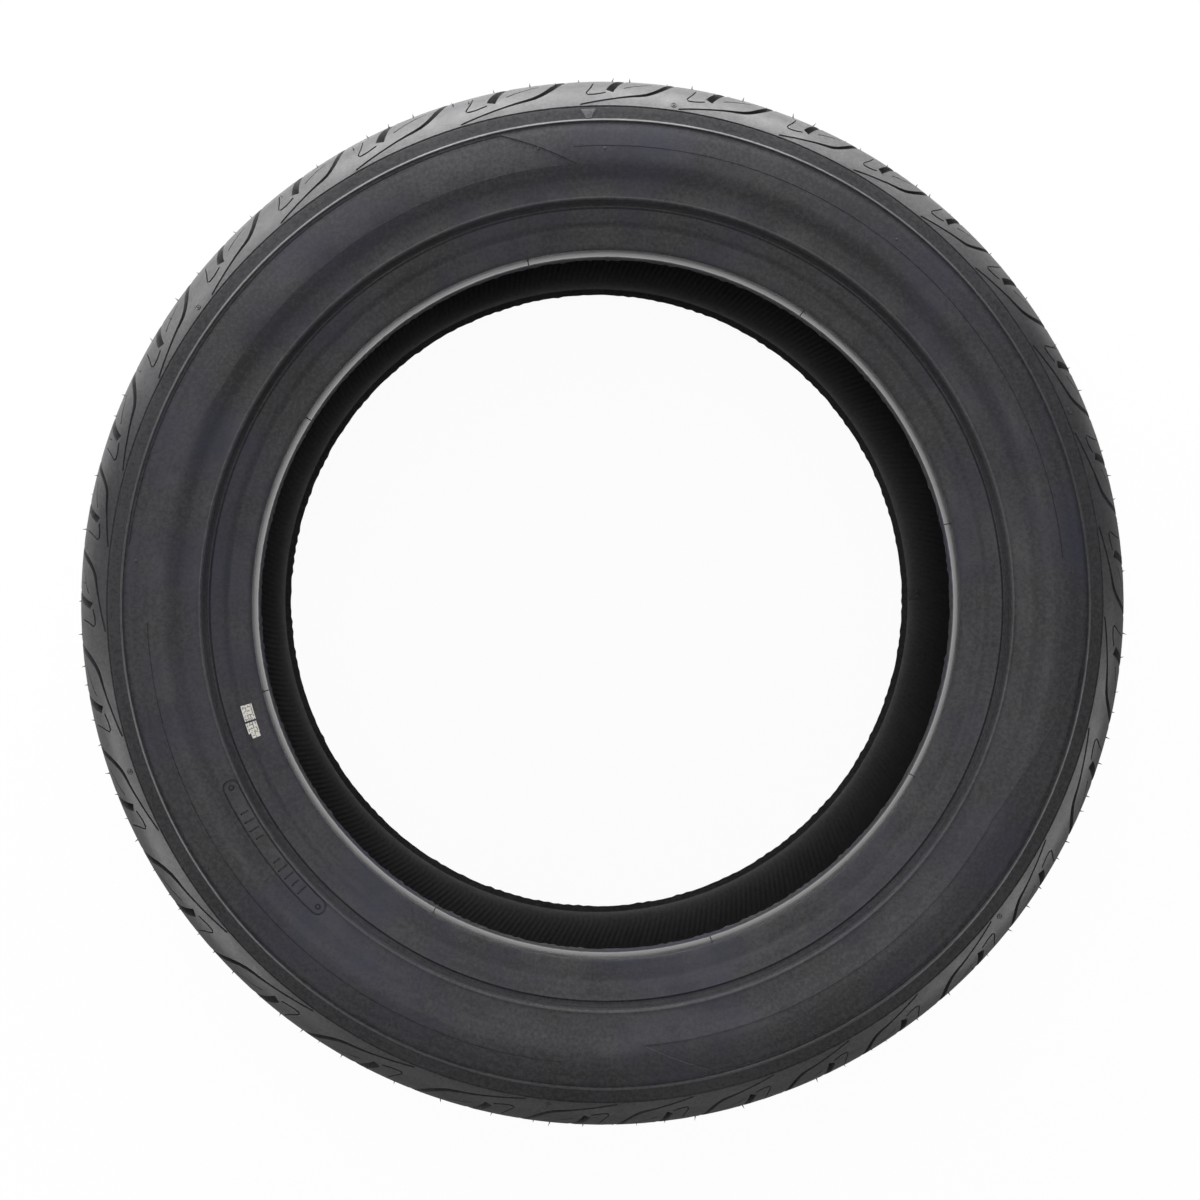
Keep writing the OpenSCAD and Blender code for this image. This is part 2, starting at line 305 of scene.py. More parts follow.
class Relief:
    """A flat drawing of raised and sunk shapes, cut into triangles along every outline."""

    def __init__(self):
        self.points, self.edges, self.shapes = [], [], []

    def line(self, points, closed=False):
        start = len(self.points)
        self.points.extend((float(x), float(y)) for x, y in points)
        n = len(points)
        self.edges.extend((start + i, start + (i + 1) % n) for i in range(n if closed else n - 1))

    def shape(self, outer, inner, height, order=0):
        """A shape whose wall runs from the outer loop, at the face, to the inner loop, at its height."""
        self.line(outer, True)
        self.line(inner, True)
        self.shapes.append((np.asarray(inner, float), height, order))

    def fill(self, points, gap):
        """Loose points, where they are clear of every line."""
        points = np.asarray(points, float)
        lines = np.array(self.points)
        a, b = lines[[e[0] for e in self.edges]], lines[[e[1] for e in self.edges]]
        near = np.zeros(len(points), bool)
        for i in range(0, len(a), 64):
            some_a, some_b = a[i : i + 64], b[i : i + 64]
            lo, hi = np.minimum(some_a, some_b).min(0) - gap, np.maximum(some_a, some_b).max(0) + gap
            pick = np.where(~near & (points >= lo).all(1) & (points <= hi).all(1))[0]
            if len(pick):
                near[pick] = distance(points[pick], some_a, some_b) < gap
        self.points.extend((float(x), float(y)) for x, y in points[~near])

    def triangles(self, keep):
        out = delaunay_2d_cdt([Vector(p) for p in self.points], self.edges, [], 0, 1e-4, False)
        xy = np.array([(v.x, v.y) for v in out[0]])
        faces = np.array([f for f in out[2] if len(f) == 3])
        faces = faces[keep(xy[faces].mean(1))]
        area = np.cross(xy[faces[:, 1]] - xy[faces[:, 0]], xy[faces[:, 2]] - xy[faces[:, 0]])
        faces = faces[np.abs(area) > 1e-6]
        used, faces = np.unique(faces, return_inverse=True)
        return xy[used], faces.reshape(-1, 3)

    def heights(self, xy, skip=()):
        """Height of each point: the highest order wins, then the deepest or highest shape."""
        best, rank = np.zeros(len(xy)), np.full(len(xy), -1)
        for k, (loop, height, order) in enumerate(self.shapes):
            if k in skip:
                continue
            lo, hi = loop.min(0) - 0.1, loop.max(0) + 0.1
            pick = np.where((xy >= lo).all(1) & (xy <= hi).all(1))[0]
            if not len(pick):
                continue
            pick = pick[inside(xy[pick], loop)]
            h = height(xy[pick]) if callable(height) else np.full(len(pick), float(height))
            wins = (order > rank[pick]) | ((order == rank[pick]) & (np.abs(h) > np.abs(best[pick])))
            best[pick[wins]], rank[pick[wins]] = h[wins], order
        return best


# Tread
SWEEP = [(-4.8, 105.0, 0.12), (0.2, 101.8, 0.3), (3.3, 98.3, 0.95), (5.2, 86, 1.9), (7.4, 55.5, 2.0)]
NOTCH = [(-1.45, 97.6, 2.25), (0.15, 79, 2.45), (1.9, 55.5, 2.1)]
RIB_SLOT = [(3.2, 55.5, 1.5), (5.4, 33, 1.2)]
MIDDLE_SLOT = [(6.2, 19, 1.3), (7.4, 7, 1.0)]
# Thin cuts of the near half: points of [degrees from the notch, height, half width], and their depth
SIPES = [
    (
        [
            (-3.0, 87.5, 0.3), (-3.4, 94.5, 0.35), (-4.0, 99.2, 0.35),
            (-3.8, 100.2, 0.35), (-3.0, 100.1, 0.35), (-1.9, 98.9, 0.35),
        ],
        1.8,
    ),
    ([(0.15, 95.0, 0.3), (1.5, 91.6, 0.3), (3.3, 87.4, 0.3)], 1.4),
    ([(-2.0, 76, 0.35), (-0.6, 62.5, 0.35)], 3.5),
    ([(3.9, 80, 0.35), (5.1, 62.5, 0.35)], 3.5),
    ([(-0.6, 48.5, 0.35), (0.6, 40, 0.35), (1.6, 32, 0.35), (2.2, 26, 0.35)], 3.5),
    ([(6.6, 48.5, 0.35), (7.5, 41, 0.35), (7.9, 34, 0.35)], 3.5),
    ([(0.6, 12, 0.35), (2.2, 3, 0.35)], 3.0),
]
# Line between two pitches, as [degrees from the notch, height], clear of every slot
CELL_SIDE = [
    (7.89, 0), (8.3, 7), (8.7, 19), (9.6, 40), (10.0, 55), (9.3, 66), (8.3, 80),
    (7.4, 88), (6.3, 95), (5.3, 99.5), (4.4, 102.5), (3.6, 104.6), (3.2, 105.6),
]
RIB_ROWS = (0, 7, 19, 30, 37, 44, 55.6)  # distances along the face where the ribs have a row of points
EDGE_STEPS, GROOVE_STEPS = 12, 8  # steps across a pitch at the shoulder's edge, and at other rows
SLOT_LIP, SIPE_LIP, BAR_LIP = 0.35, 0.12, 0.4  # how far their walls lean
LEAST_HALF = 0.06  # half width of a slot's floor where it fades out


def cell_lines():
    """Rows of a pitch's drawing along the face, its groove lines, and its right side at each row."""
    grooves = []
    for z in GROOVES:
        s0 = float(s_at(z))
        grooves += [s0 - GROOVE_HALF, s0 - GROOVE_HALF + GROOVE_TAPER]
        grooves += [s0 + GROOVE_HALF - GROOVE_TAPER, s0 + GROOVE_HALF]
    rows = sorted([*RIB_ROWS, *grooves, *np.linspace(65.5, S_END - 4.2, 11), S_END])
    rows = np.array([-v for v in rows[:0:-1]] + rows)
    c, z = np.array(CELL_SIDE).T
    s = s_at(np.minimum(z, FACE_Z[-1]))
    s[-1] = S_END
    near = np.interp(np.abs(rows), s, c)
    return rows, grooves, np.where(rows >= 0, near, FAR_TURN - (near - DRAWN_PITCH))


CELL_ROWS, GROOVE_LINES, CELL_RIGHT = cell_lines()


def cell_right(v):
    """Degrees of the right side of a pitch at a place along the face."""
    return np.interp(v, CELL_ROWS, CELL_RIGHT)


def ribbon(points, widen):
    """Outline of a slot round its middle line, on the flat drawing."""
    p = np.array([(math.radians(c) * face_r(z), z, w) for c, z, w in points])
    p = resampled(p, LOOP_STEP)
    ahead = np.gradient(p[:, :2], axis=0)
    ahead /= np.linalg.norm(ahead, axis=1)[:, None]
    side = np.stack([-ahead[:, 1], ahead[:, 0]], 1) * np.maximum(p[:, 2] + widen, LEAST_HALF)[:, None]
    if widen > 0:  # the walls go round the ends too
        p[0, :2] -= ahead[0] * widen
        p[-1, :2] += ahead[-1] * widen
    loop = np.concatenate([p[:, :2] + side, (p[:, :2] - side)[::-1]])
    z = np.clip(loop[:, 1], 0.0, FACE_Z[-1] - 0.05)
    return np.stack([np.degrees(loop[:, 0] / face_r(z)) * MM_PER_DEG, s_at(z)], 1)


def far_half(loop):
    """The same outline on the far half of the tread."""
    return np.stack([FAR_TURN * MM_PER_DEG - loop[:, 0], -loop[:, 1]], 1)


def slot_depth(xy, most=SLOT_DEPTH):
    """Depth of a slot at points of the flat drawing, as a height, and no deeper than most."""
    return -np.minimum(most, np.interp(np.abs(xy[:, 1]), FACE_S, FACE_DEPTH))


def groove_floors():
    """Both edges of each main groove's floor, on each half of the tread."""
    floors = []
    for k in range(len(GROOVES)):
        a, b = GROOVE_LINES[4 * k + 1], GROOVE_LINES[4 * k + 2]
        floors += [(a, b, 1), (a, b, -1)]
    return floors


def draw_slots(drawing, step):
    """Every slot and thin cut that reaches into the pitch, on both halves of the tread."""
    cuts = [(line, slot_depth, SLOT_LIP) for line in (SWEEP, NOTCH, RIB_SLOT, MIDDLE_SLOT)]
    cuts += [(line, lambda xy, most=depth: slot_depth(xy, most), SIPE_LIP) for line, depth in SIPES]
    for line, depth, lip in cuts:
        outer, inner = ribbon(line, lip / 2), ribbon(line, -lip / 2)
        for shift in (-step, 0, step):
            for edge, floor_edge in ((outer, inner), (far_half(outer), far_half(inner))):
                edge, floor_edge = edge + [shift, 0], floor_edge + [shift, 0]
                room = cell_right(edge[:, 1]) * MM_PER_DEG
                if (edge[:, 0] < room + 2).any() and (edge[:, 0] > room - step - 2).any():
                    drawing.shape(edge, floor_edge, depth)


def draw_wear_bars(drawing):
    """A wear bar in each main groove; returns the numbers of their shapes."""
    bars, half = [], WEAR_BAR_LEN / 2
    for a, b, sign in groove_floors():
        mid = (WEAR_BAR_AT if sign > 0 else FAR_TURN - WEAR_BAR_AT) * MM_PER_DEG
        for lip in (BAR_LIP, 0):
            for x in (mid - half - lip, mid + half + lip):
                drawing.line([(x, sign * a), (x, sign * b)])
        loop = rectangle(mid - half, mid + half, sign * (a - 0.2), sign * (b + 0.2))
        bars.append(len(drawing.shapes))
        drawing.shapes.append((loop, -(GROOVE_DEPTH - WEAR_BAR_H), 1))
    return bars


def tread_cell():
    """One pitch of the tread: points, triangles, heights without and with wear bars, border points."""
    drawing = Relief()
    step = DRAWN_PITCH * MM_PER_DEG
    right = CELL_RIGHT * MM_PER_DEG
    drawing.line(np.stack([right, CELL_ROWS], 1))
    drawing.line(np.stack([right - step, CELL_ROWS], 1))
    across = [(v, EDGE_STEPS) for v in (-S_END, S_END)]
    across += [(v, GROOVE_STEPS) for v in GROOVE_LINES + [-v for v in GROOVE_LINES]]
    for v, steps in across:
        x = float(cell_right(v)) * MM_PER_DEG
        drawing.line([(x - step + step * i / steps, v) for i in range(steps + 1)])
    for a, b, sign in groove_floors():
        drawing.shapes.append((rectangle(-2 * step, 3 * step, sign * a, sign * b), -GROOVE_DEPTH, 0))
    draw_slots(drawing, step)
    bars = draw_wear_bars(drawing)
    loose = []
    for v in CELL_ROWS[1:-1]:
        if min(abs(abs(v) - g) for g in GROOVE_LINES) < 0.5:
            continue
        x = float(cell_right(v)) * MM_PER_DEG
        odd = 0.5 * (len(loose) % 2)
        loose += [(x - step + step * (i + odd) / GROOVE_STEPS, v) for i in range(1, GROOVE_STEPS)]
    drawing.fill(loose, 0.9)

    def keep(middle):
        x = cell_right(middle[:, 1]) * MM_PER_DEG
        between_sides = (middle[:, 0] < x - BORDER_IN) & (middle[:, 0] > x - step + BORDER_IN)
        return between_sides & (np.abs(middle[:, 1]) < S_END)

    xy, faces = drawing.triangles(keep)
    plain, barred = drawing.heights(xy, bars), drawing.heights(xy)
    x = cell_right(xy[:, 1]) * MM_PER_DEG
    return xy, faces, plain, barred, border(xy, x - step), border(xy, x)


def notch_angles():
    """Photo-clockwise angle of each pitch's notch, and each pitch's stretch."""
    size = np.array([PITCH_SIZE[k] for k in PITCHES])
    span = size * 360 / size.sum()
    return FIRST_NOTCH + np.concatenate([[0], np.cumsum(span)[:-1]]), span / DRAWN_PITCH


def tread(shell, kind):
    """The whole tread; returns its two border rings as [point numbers, angles], anticlockwise."""
    xy, faces, plain, barred, on_left, on_right = tread_cell()
    c, v = xy[:, 0] / MM_PER_DEG, xy[:, 1]
    right = cell_right(v)
    notches, scales = notch_angles()
    n = len(PITCHES)
    own = np.ones(len(xy), bool)
    own[on_right] = False
    numbers, angles = [], []
    half = DRAWN_PITCH / 2
    for j in range(n):
        scale = scales[j]
        before, after = (scale + scales[j - 1]) / 2, (scale + scales[(j + 1) % n]) / 2
        t = np.clip((c - (right - half)) / half, 0, 1)
        u = np.clip(((right - half) - c) / half, 0, 1)
        stretch = t**3 * (DRAWN_PITCH - right) * (scale - after)
        angle = notches[j] + c * scale + stretch + u**3 * (right - DRAWN_PITCH) * (before - scale)
        turned = np.radians(angle)
        slip = PATTERN_SLIP[0] * np.sin(turned) + PATTERN_SLIP[1] * np.cos(turned)
        angle = np.radians(from_top(angle) - slip)
        r, z = face_point(v, barred if j % WEAR_BAR_EVERY == 0 else plain)
        index = np.full(len(xy), -1)
        index[own] = shell.add(np.stack([r * np.cos(angle), r * np.sin(angle), z], 1)[own])
        numbers.append(index)
        angles.append(angle)
    for j in range(n):
        numbers[j][on_right] = numbers[(j + 1) % n][on_left]
        shell.face([(p, q, o) for p, o, q in numbers[j][faces].tolist()], kind)
    rings = []
    for end in (S_END, -S_END):
        row = np.where((np.abs(v - end) < BORDER_NEAR) & own)[0]
        row = row[np.argsort(c[row])]
        ids = np.concatenate([numbers[j][row] for j in range(n)])
        ring_angles = np.concatenate([angles[j][row] for j in range(n)])
        rings.append((ids[::-1], np.unwrap(ring_angles[::-1])))
    return rings


# Sidewalls
SIDE_R = 278.0  # the sidewall is drawn flat at this radius
TOP_ROWS = [
    (305.9, 0.5), (305.4, 0.6), (302.0, 0.6), (298.4, 0.6), (298.0, 0.7), (297.7, 1.05),
    (297.3, 1.15), (296.95, 1.0), (296.7, 0.55), (296.4, 0.0), (295.9, -0.05),
]
BAND_ROWS = 4  # of these rows, the ones on the raised band; the rest are the fine rib at its inner edge
LOW_ROWS = [(252.4, 0.05), (251.6, 0.3), (250.8, 0.35), (250.1, 0.1), (249.5, -0.8)]
SIDE_END = (249.1, 102.7)
# Lean of the sidewall towards the axle, in degrees, from the widest place in to the ledge
LEAN = [
    (249, 8), (252, 10), (257, 11), (260, 13), (262.4, 19), (264.6, 26), (267, 31),
    (269.2, 25), (271.6, 14), (274, 8), (276.4, 2.2), (277.95, 0),
]
LEAN_STEP = 0.25
SHOULDER_FOOT = [(306.95, -0.35), (306.5, -0.6), (306.2, -0.45)]  # the crease under the tread's edge
STUB_H = 0.4  # the sidewall lies this much lower, so that its stubs stay in the CAD model's box
SIDE_ROWS, SIDE_POINTS = {1: 14, -1: 9}, {1: 384, -1: 300}  # of the loose points on each sidewall
STUBS = ((351, 282.6), (359.3, 279.6), (275.5, 289.5), (141, 275.3), (38, 286), (208, 290), (305, 263))
SCRIBED_R, SCRIBED_SPANS = (281.6, 281.0), ((-4.5, 84), (186, 268))
MARK_CORNERS = ((356.6, 305.0), (358.4, 305.0), (357.8, 298.7), (357.15, 298.7))
# The let-in plate: where it starts and ends, its radius, and the half width, height and order of its steps
PLATE_ENDS, PLATE_R = (244.4, 224.2), 256.9
PLATE_STEPS = ((5.6, -0.9, 0), (4.5, 0.1, 1))
PLATE_BARS, BARS_FROM, BAR_PITCH = (0, 1, 2, 3, 6, 7, 8, 9, 10), 240.6, 1.32


def worn_side_z(r):
    """Height of the moulded sidewall: plain beyond its widest place, with a shelf by the ledge inside it."""
    grid = np.arange(249.0, 278.0, LEAN_STEP)
    lean = np.interp(grid, *np.array(LEAN).T)
    rise = np.concatenate([[0], np.cumsum(np.tan(np.radians(lean[:-1] + lean[1:]) / 2) * LEAN_STEP)])
    shelf = HALF_W - (rise[-1] - np.interp(r, grid, rise))
    return np.where(r < grid[-1], shelf, side_z(r)) - STUB_H * np.clip((TOP_ROWS[0][0] - r) / 6, 0, 1)


def side_table():
    """The sidewall from the raised band in to the ledge: distance along it, radius, height."""
    line = [(r, float(worn_side_z(r)) + lift) for r, lift in TOP_ROWS]
    line += [(r, float(worn_side_z(r))) for r in np.linspace(295, 253.2, 84)]
    line += [(r, float(worn_side_z(r)) + lift) for r, lift in LOW_ROWS] + [SIDE_END]
    line = np.array(line)
    return lengths(line), line[:, 0], line[:, 1]


SIDE_Y, SIDE_RS, SIDE_ZS = side_table()
SIDE_LAST = float(SIDE_Y[-1])
SIDE_NR, SIDE_NZ = -np.gradient(SIDE_ZS, SIDE_Y), np.gradient(SIDE_RS, SIDE_Y)


def side_y(r):
    return np.interp(-np.asarray(r, float), -SIDE_RS, SIDE_Y)


def side_point(y, height):
    r, z = np.interp(y, SIDE_Y, SIDE_RS), np.interp(y, SIDE_Y, SIDE_ZS)
    return r + height * np.interp(y, SIDE_Y, SIDE_NR), z - height * np.interp(y, SIDE_Y, SIDE_NZ)


def drawn(points):
    """Points of [model angle in degrees, radius] on the flat drawing of the sidewall."""
    p = np.asarray(points, float)
    return np.stack([np.radians(p[:, 0]) * SIDE_R, side_y(p[:, 1])], 1)


def refined(loop, step=LOOP_STEP):
    """A closed loop with no step longer than step."""
    out = []
    for i in range(len(loop)):
        a, b = np.asarray(loop[i], float), np.asarray(loop[(i + 1) % len(loop)], float)
        k = max(1, int(math.ceil(np.linalg.norm(b - a) / step)))
        out += [a + (b - a) * j / k for j in range(k)]
    return np.array(out)


def inset(loop, by):
    """A closed loop moved inwards by a distance."""
    p = np.asarray(loop, float)
    area = np.sum(p[:, 0] * np.roll(p[:, 1], -1) - np.roll(p[:, 0], -1) * p[:, 1])
    d = np.roll(p, -1, 0) - p
    d /= np.linalg.norm(d, axis=1)[:, None]
    normal = np.stack([-d[:, 1], d[:, 0]], 1) * (1 if area > 0 else -1)
    before = np.roll(normal, 1, 0)
    turn = normal + before
    return p + turn * by / np.maximum(1 + (normal * before).sum(1), 0.35)[:, None]


def round_spot(angle, r, radius, n=14):
    x, y = drawn([(angle, r)])[0]
    a = np.arange(n) * TAU / n
    return np.stack([x + radius * np.cos(a), y + radius * np.sin(a)], 1)


def capsule(a0, a1, r, half, n=7):
    """A long rounded outline between two angles, along the sidewall."""
    (x0, y), (x1, _) = drawn([(a0, r), (a1, r)])
    turn = np.pi * np.arange(n + 1) / n
    right = np.stack([x1 + half * np.sin(turn), y - half * np.cos(turn)], 1)
    left = np.stack([x0 - half * np.sin(turn), y + half * np.cos(turn)], 1)
    return refined(np.concatenate([right, left]))


PANEL_OUT, PANEL_IN = 295.1, 271.0
PANEL_SWEEP = [(0, 151), (0.1, 155), (0.35, 162), (0.7, 168.5), (1, 173)]


def panel_loop(turn, way):
    """Outline of a long sunk panel; way is -1 on the far side, where it runs the other way round."""
    loop = [(a, PANEL_IN + (PANEL_OUT - PANEL_IN) * q) for q, a in PANEL_SWEEP]
    loop += [(103.1, PANEL_OUT), (94.2, PANEL_IN)]
    loop = [(way * (a + turn), r) for a, r in loop]
    return refined(drawn(loop))


def wrapped(loop):
    """The loop moved by whole turns until its middle lies on the drawing."""
    turn = TAU * SIDE_R
    return loop - [math.floor(loop[:, 0].mean() / turn) * turn, 0]


def wear_mark():
    """Outline of the light mark on the band that shows where the wear bars are."""
    return wrapped(refined(drawn([(from_top(a), r) for a, r in MARK_CORNERS]), 3))


def draw_stud(drawing, angle, r, foot, top, height, order):
    drawing.shape(wrapped(round_spot(angle, r, foot)), wrapped(round_spot(angle, r, top)), height, order)


def draw_plate(drawing):
    """A let-in plate with a stud at each end and a row of plain upright bars."""
    ends = [from_top(a) for a in PLATE_ENDS]
    for half, height, order in PLATE_STEPS:
        loop = wrapped(capsule(*ends, PLATE_R, half))
        drawing.shape(loop, inset(loop, 0.25), height, order)
    for a in ends:
        draw_stud(drawing, a, PLATE_R, 2.0, 1.7, -0.7, 2)
        draw_stud(drawing, a, PLATE_R, 1.2, 0.8, 0.6, 3)
    for k in PLATE_BARS:
        x, y = drawn([(from_top(BARS_FROM - BAR_PITCH * k), PLATE_R)])[0]
        w, h = 0.6, 3.4 if k % 3 else 2.6
        loop = wrapped(rectangle(x - w, x + w, y - h, y + h))
        drawing.shape(loop, inset(loop, 0.2), -1.1, 2)


def sidewall_shapes(drawing, side):
    """Sunk panels on both sidewalls; on the labelled one also scribed lines, wear mark, stubs and plate."""
    for turn in (0, 180):
        loop = wrapped(panel_loop(turn, side))
        drawing.shape(loop, inset(loop, 0.45), -PANEL_DEPTH)
    if side < 0:
        return
    outer_r, inner_r = SCRIBED_R
    for a0, a1 in SCRIBED_SPANS:
        a0, a1 = from_top(a0), from_top(a1)
        loop = wrapped(refined(drawn([(a0, outer_r), (a1, outer_r), (a1, inner_r), (a0, inner_r)])))
        drawing.shape(loop, inset(loop, 0.15), -0.3)
    loop = wear_mark()
    drawing.shape(loop, inset(loop, 0.3), 0.3)
    for a, r in STUBS:
        draw_stud(drawing, from_top(a), r, 0.95, 0.5, STUB_H, 2)
    draw_plate(drawing)


def sidewall(shell, side, ids, angles, low_angles, kind):
    """One sidewall from the shoulder's edge in to the ledge; returns its inner ring."""
    start = len(shell.faces)
    rings = [ids]
    for r, lift in SHOULDER_FOOT:
        rings.append(shell.add(ring(r, side * (float(side_z(r)) + lift), angles)))
    drawing = Relief()
    turn = TAU * SIDE_R
    band_y = [float(side_y(r)) for r, _ in TOP_ROWS]
    low_y = [float(side_y(r)) for r, _ in LOW_ROWS]
    mid_y = list(np.linspace(band_y[-1] + 2.2, low_y[0] - 1.6, SIDE_ROWS[side]))
    rows = [(y, True) for y in band_y] + [(y, False) for y in mid_y]
    rows += [(y, True) for y in low_y] + [(SIDE_LAST, True)]

    def left_x(y):
        t = np.clip((np.asarray(y) - band_y[-1]) / (SIDE_LAST - band_y[-1]), 0, 1)
        return SIDE_R * (angles[0] + (low_angles[0] - angles[0]) * t)

    ys = np.array([y for y, _ in rows])
    drawing.line(np.stack([left_x(ys), ys], 1))
    drawing.line(np.stack([left_x(ys) + turn, ys], 1))
    for y, fixed in rows:
        if not fixed:
            continue
        if y < SIDE_LAST:
            a = angles if y <= band_y[-1] else np.linspace(0, TAU, len(angles), endpoint=False)
        else:
            a = low_angles
        x = float(left_x(y))
        inner = a * SIDE_R
        inner = inner[(inner > x + 0.5) & (inner < x + turn - 0.5)]
        drawing.line([(x, y)] + [(v, y) for v in inner] + [(x + turn, y)])
    sidewall_shapes(drawing, side)
    loose = []
    n = SIDE_POINTS[side]
    for k, y in enumerate(mid_y):
        x = float(left_x(y))
        loose += [(x + turn * (i + 0.5 * (k % 2)) / n, y) for i in range(1, n)]
    drawing.fill(loose, 1.1)

    def keep(middle):
        x, y = left_x(middle[:, 1]), middle[:, 1]
        between_sides = (middle[:, 0] > x + BORDER_IN) & (middle[:, 0] < x + turn - BORDER_IN)
        return between_sides & (y > 0) & (y < SIDE_LAST)

    xy, faces = drawing.triangles(keep)
    h = drawing.heights(xy)
    r, z = side_point(xy[:, 1], h)
    a = xy[:, 0] / SIDE_R
    x = left_x(xy[:, 1])
    on_left, on_right = border(xy, x), border(xy, x + turn)
    own = np.ones(len(xy), bool)
    own[on_right] = False
    number = np.full(len(xy), -1)
    number[own] = shell.add(np.stack([r * np.cos(a), r * np.sin(a), side * z], 1)[own])
    number[on_right] = number[on_left]
    top = np.where((xy[:, 1] < 1e-4) & own)[0]
    rings.append(number[top[np.argsort(xy[top, 0])]])
    for one, two in zip(rings, rings[1:]):
        shell.strip(one, two, ON_BAND)
    y_mid = xy[faces][:, :, 1].mean(1)
    on_band, on_rib = y_mid < band_y[BAND_ROWS - 1], y_mid < band_y[-2]
    on_lip = (y_mid > low_y[1]) & (y_mid < low_y[3])
    look = np.where(on_band, ON_BAND, np.where(on_rib | on_lip, ON_RIB, kind))
    if side > 0:
        look[inside(xy[faces].mean(1), wear_mark(), 0.0)] = ON_MARK
    shell.faces.extend(tuple(f) for f in number[faces].tolist())
    shell.kinds.extend(look.tolist())
    if side < 0:
        shell.faces[start:] = [f[::-1] for f in shell.faces[start:]]
    low = np.where((xy[:, 1] > SIDE_LAST - 1e-4) & own)[0]
    low = low[np.argsort(xy[low, 0])]
    return number[low]


# Beads and lining
HEEL = [
    (222.2, 91.7), (221.5, 91.2), (221.1, 90.5), (220.4, 89.3), (219.7, 88.0),
    (219.05, 86.6), (218.6, 85.2), (218.36, 83.8), (218.3, 82.3),
]
HEEL_GLOSS = 3  # the heel shines from this row on
VALLEY = [
    (248.7, 100.9), (248.4, 99.2), (247.9, 97.9), (247.3, 97.35),
    (246.7, 97.25), (246.1, 97.5), (245.4, 97.9),
]
VALLEY_MATTE_R = 247  # its wall outside this radius is matte
FALL = [
    (244.6, 97.6), (241.5, 96.9), (238.9, 96.2), (237.7, 95.7), (236.3, 94.9), (235.2, 94.28), (234.4, 93.95),
]
TOE_ROWS = [(0, 0), (-0.45, -0.9), (-0.9, -1.6), (-0.7, -2.3)]  # from the seat's low end


def bead_rows(fine):
    """Section of a bead from the ledge over flange face and heel to the toe: radius, height, kind."""
    valley, fall = (VALLEY, FALL) if fine else (VALLEY[::2], FALL[::2])
    rows = [(r, z, ON_BAND if r > VALLEY_MATTE_R else ON_SIDE) for r, z in valley]
    rows += [(r, z, ON_SIDE) for r, z in fall]
    rows += [(r, flange_z(r), ON_SIDE) for r in ((233.6, 230.5, 227, 223.8) if fine else (233.6, 223.8))]
    rows += [(r, z, ON_SIDE if k < HEEL_GLOSS else ON_BEAD) for k, (r, z) in enumerate(HEEL)]
    toe_kind = ON_SIDE if fine else ON_BAND
    rows += [(BEAD_R + out, SEAT_LOW + up, toe_kind) for out, up in TOE_ROWS]
    return rows + [(*TOE, toe_kind)]


# Vent lines across the heel, in degrees from the top; each has a groove this deep between these offsets
TICKS = (33.5, 76.5, 119.2, 162.9, 209.8, 256.1, 301.9, 346.8)
TICK_R, TICK_REACH, TICK_EDGES = 222, 0.5, (-0.75, -0.35, 0.35, 0.75)
TICK_IN, TICK_UP = 0.22, 0.2
# How far the three rows before the toe waver, from the last one up, and how far the far ones stand in
NEAR_RAGGED, FAR_RAGGED, FAR_TOE_IN = (0.3, 1.0, 0.4), (0.3, 0.9, 0.35), 1.1


def tick_lines(ticks):
    return np.array([math.radians(from_top(t)) % TAU for t in ticks])


def bead_angles(n, ticks):
    """Even angles, with four close together at each vent line."""
    even, lines = np.arange(n) * TAU / n, tick_lines(ticks)
    extra = [a + d / TICK_R for a in lines for d in TICK_EDGES]
    kept = [a for a in even if not ticks or np.abs(lines - a).min() * TICK_R > 1.2]
    return np.array(sorted(kept + extra))


def ragged(n, seed):
    """Small uneven bumps round a ring of n points, from 0 to 1."""
    rng = random.Random(seed)
    return np.array([rng.random() * (0.35 if k % 2 else 1) for k in range(n)])


def bead(shell, side, ids, angles, ticks):
    """Rows from the ledge's ring to the toe; returns the toe's ring."""
    near_tick = np.zeros(len(angles), bool)
    if ticks:
        near_tick = np.abs(angles[:, None] - tick_lines(ticks)[None, :]).min(1) * TICK_R < TICK_REACH
    bumps = ragged(len(angles), 5 if side > 0 else 6)
    start = len(shell.faces)
    last = ids
    rows = bead_rows(side > 0)
    for k, (r, z, kind) in enumerate(rows):
        rr, zz = np.full(len(angles), float(r)), np.full(len(angles), float(z))
        if kind == ON_BEAD and ticks:
            rr[near_tick] -= TICK_IN
            zz[near_tick] += TICK_UP
        toe = len(rows) - 1 - k
        if toe in (1, 2, 3):
            rr -= NEAR_RAGGED[toe - 1] * bumps if side > 0 else FAR_RAGGED[toe - 1] * bumps + FAR_TOE_IN
            zz -= 0.2 * bumps
        this = shell.add(ring(rr, side * zz, angles))
        shell.strip(last, this, kind)
        if kind == ON_BEAD:
            for i in np.where(near_tick & np.roll(near_tick, -1))[0]:
                shell.kinds[i - len(angles)] = ON_BAND
        last = this
    if side < 0:
        shell.faces[start:] = [f[::-1] for f in shell.faces[start:]]
    return last


# The lining's slanting ribs: points round, lean, length, height, radii they run between, highest place
RIB_POINTS, RIB_LEAN, RIB_LEN, RIB_H = 768, math.radians(2.9), 32, 1.0
RIB_FROM, RIB_TO, RIB_TOP = 219, 252, -60
LINING_POINTS = 288


